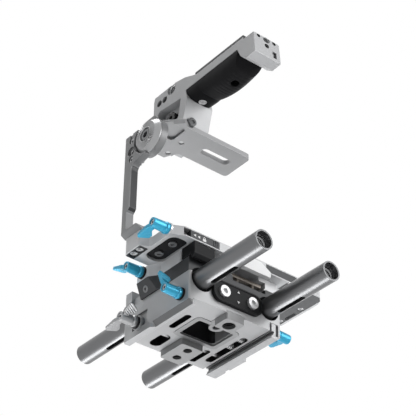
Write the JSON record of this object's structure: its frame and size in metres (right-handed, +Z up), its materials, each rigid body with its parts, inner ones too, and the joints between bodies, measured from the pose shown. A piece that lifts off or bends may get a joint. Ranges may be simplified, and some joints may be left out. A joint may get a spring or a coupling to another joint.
{
  "type": "camera cage",
  "caption": "Camera cage: rod support base block, riser, cage base with side arm and rosette, cage top and rear-facing grip handle.",
  "frame": {"origin": "centre of the large tripod hole's mouth, in the underside plane", "axes": "+Z up from the underside, +Y along the rods towards the camera's lens side, +X to the camera's right seen from behind"},
  "size_m": [0.1559, 0.2164, 0.1984],
  "materials": {
    "silver": "satin anodised",
    "gunmetal": "polished dark anodised",
    "black": "matte black anodised",
    "charcoal": "dark grey anodised",
    "blue": "satin blue anodised",
    "steel": "turned steel",
    "rubber": "matte moulded",
    "bronze": "satin",
    "plastic": "matte moulded"
  },
  "bodies": {
    "base": {"rod_block": "silver", "tripod_insert": "silver", "pad_plate": "black", "pad_screws": "steel", "jaw_springs": "steel", "bridge_plate": "charcoal", "lug_screw": "steel", "riser_block": "silver", "riser_screws": "steel", "release_spring": "steel", "base_washers": "plastic"},
    "left_rod": {"rod_left": "gunmetal"},
    "right_rod": {"rod_right": "gunmetal"},
    "jaw": {"dovetail_jaw": "silver"},
    "jaw_clamp": {"lever_jaw": "silver", "stud_jaw": "steel"},
    "rear_left_clamp": {"lever_rear_left": "blue", "stud_rear_left": "steel"},
    "rear_right_clamp": {"lever_rear_right": "blue", "stud_rear_right": "steel"},
    "riser_clamp": {"lever_riser": "blue", "stud_riser": "steel"},
    "button": {"release_button": "black"},
    "latch": {"latch_bar": "bronze"},
    "cage": {"shoe_plate": "charcoal", "shoe_screws": "steel", "shoe_bracket": "silver", "cage_base": "silver", "base_liner": "black", "liner_screws": "steel", "rear_insert": "charcoal", "base_pad": "rubber", "arm_screws": "steel", "side_screws": "steel", "cage_arm": "silver", "rosette": "silver", "rosette_bolt": "steel", "cage_top": "silver", "flange_screws": "steel", "top_rail": "silver", "rail_screws": "steel", "cage_washer": "steel"},
    "cage_clamp": {"lever_cage": "blue", "stud_cage": "steel"},
    "card_lock": {"lock_slide": "charcoal"},
    "handle": {"handle_frame": "silver", "handle_inlay": "charcoal", "handle_grip": "rubber", "grip_screws": "steel"},
    "rail_jaw": {"clamp_jaw": "silver"},
    "knob": {"clamp_knob": "plastic"},
    "handle_pin": {"lock_pin": "steel"}
  },
  "joints": [
    {"name": "left_rod_slide", "type": "slide", "parent": "base", "child": "left_rod", "axis": [0, 1, 0], "range_m": [-0.06, 0.06]},
    {"name": "right_rod_slide", "type": "slide", "parent": "base", "child": "right_rod", "axis": [0, 1, 0], "range_m": [-0.06, 0.06]},
    {"name": "jaw_lever_turn", "type": "hinge", "parent": "base", "child": "jaw_clamp", "pos_m": [-0.0439, 0.0496, 0.0088], "axis": [1, 0, 0], "range_deg": [0, 120]},
    {"name": "jaw_slide", "type": "slide", "parent": "base", "child": "jaw", "axis": [1, 0, 0], "range_m": [0, 0.002], "deforming": ["jaw_springs"]},
    {"name": "rear_left_lever_turn", "type": "hinge", "parent": "base", "child": "rear_left_clamp", "pos_m": [-0.0424, 0.0015, 0.0103], "axis": [1, 0, 0], "range_deg": [-66, 100]},
    {"name": "rear_right_lever_turn", "type": "hinge", "parent": "base", "child": "rear_right_clamp", "pos_m": [0.0424, 0.0015, 0.0103], "axis": [1, 0, 0], "range_deg": [-5, 150]},
    {"name": "riser_lever_turn", "type": "hinge", "parent": "base", "child": "riser_clamp", "pos_m": [-0.048, 0.0392, 0.043], "axis": [1, 0, 0], "range_deg": [-60, 60]},
    {"name": "release_button_press", "type": "slide", "parent": "base", "child": "button", "axis": [0, 1, 0], "range_m": [0, 0.0025], "stiffness_N_per_m": 400, "deforming": ["release_spring"]},
    {"name": "latch_drop", "type": "slide", "parent": "base", "child": "latch", "axis": [0, 0, -1], "range_m": [0, 0.0025]},
    {"name": "cage_balance_slide", "type": "slide", "parent": "base", "child": "cage", "axis": [0, -1, 0], "range_m": [0, 0.012]},
    {"name": "cage_lever_turn", "type": "hinge", "parent": "cage", "child": "cage_clamp", "pos_m": [-0.0609, -0.0076, 0.0504], "axis": [1, 0, 0], "range_deg": [-120, 90]},
    {"name": "card_lock_slide", "type": "slide", "parent": "cage", "child": "card_lock", "axis": [-1, 0, 0], "range_m": [0, 0.0055]},
    {"name": "handle_slide", "type": "slide", "parent": "cage", "child": "handle", "axis": [0, -1, 0], "range_m": [0, 0.012]},
    {"name": "knob_turn", "type": "hinge", "parent": "rail_jaw", "child": "knob", "pos_m": [-0.046, 0.0102, 0.1636], "axis": [1, 0, 0], "range_deg": [0, 540]},
    {"name": "rail_jaw_slide", "type": "slide", "parent": "handle", "child": "rail_jaw", "axis": [-1, 0, 0], "range_m": [0, 0.0015]},
    {"name": "handle_pin_press", "type": "slide", "parent": "handle", "child": "handle_pin", "axis": [0, 1, 0], "range_m": [0, 0.003], "stiffness_N_per_m": 400}
  ],
  "couplings": [
    {"joint": "jaw_lever_turn", "follows": "jaw_slide", "rad_per_m": 1047.1},
    {"joint": "latch_drop", "follows": "release_button_press", "ratio": 1},
    {"joint": "knob_turn", "follows": "rail_jaw_slide", "rad_per_m": 6283}
  ]
}
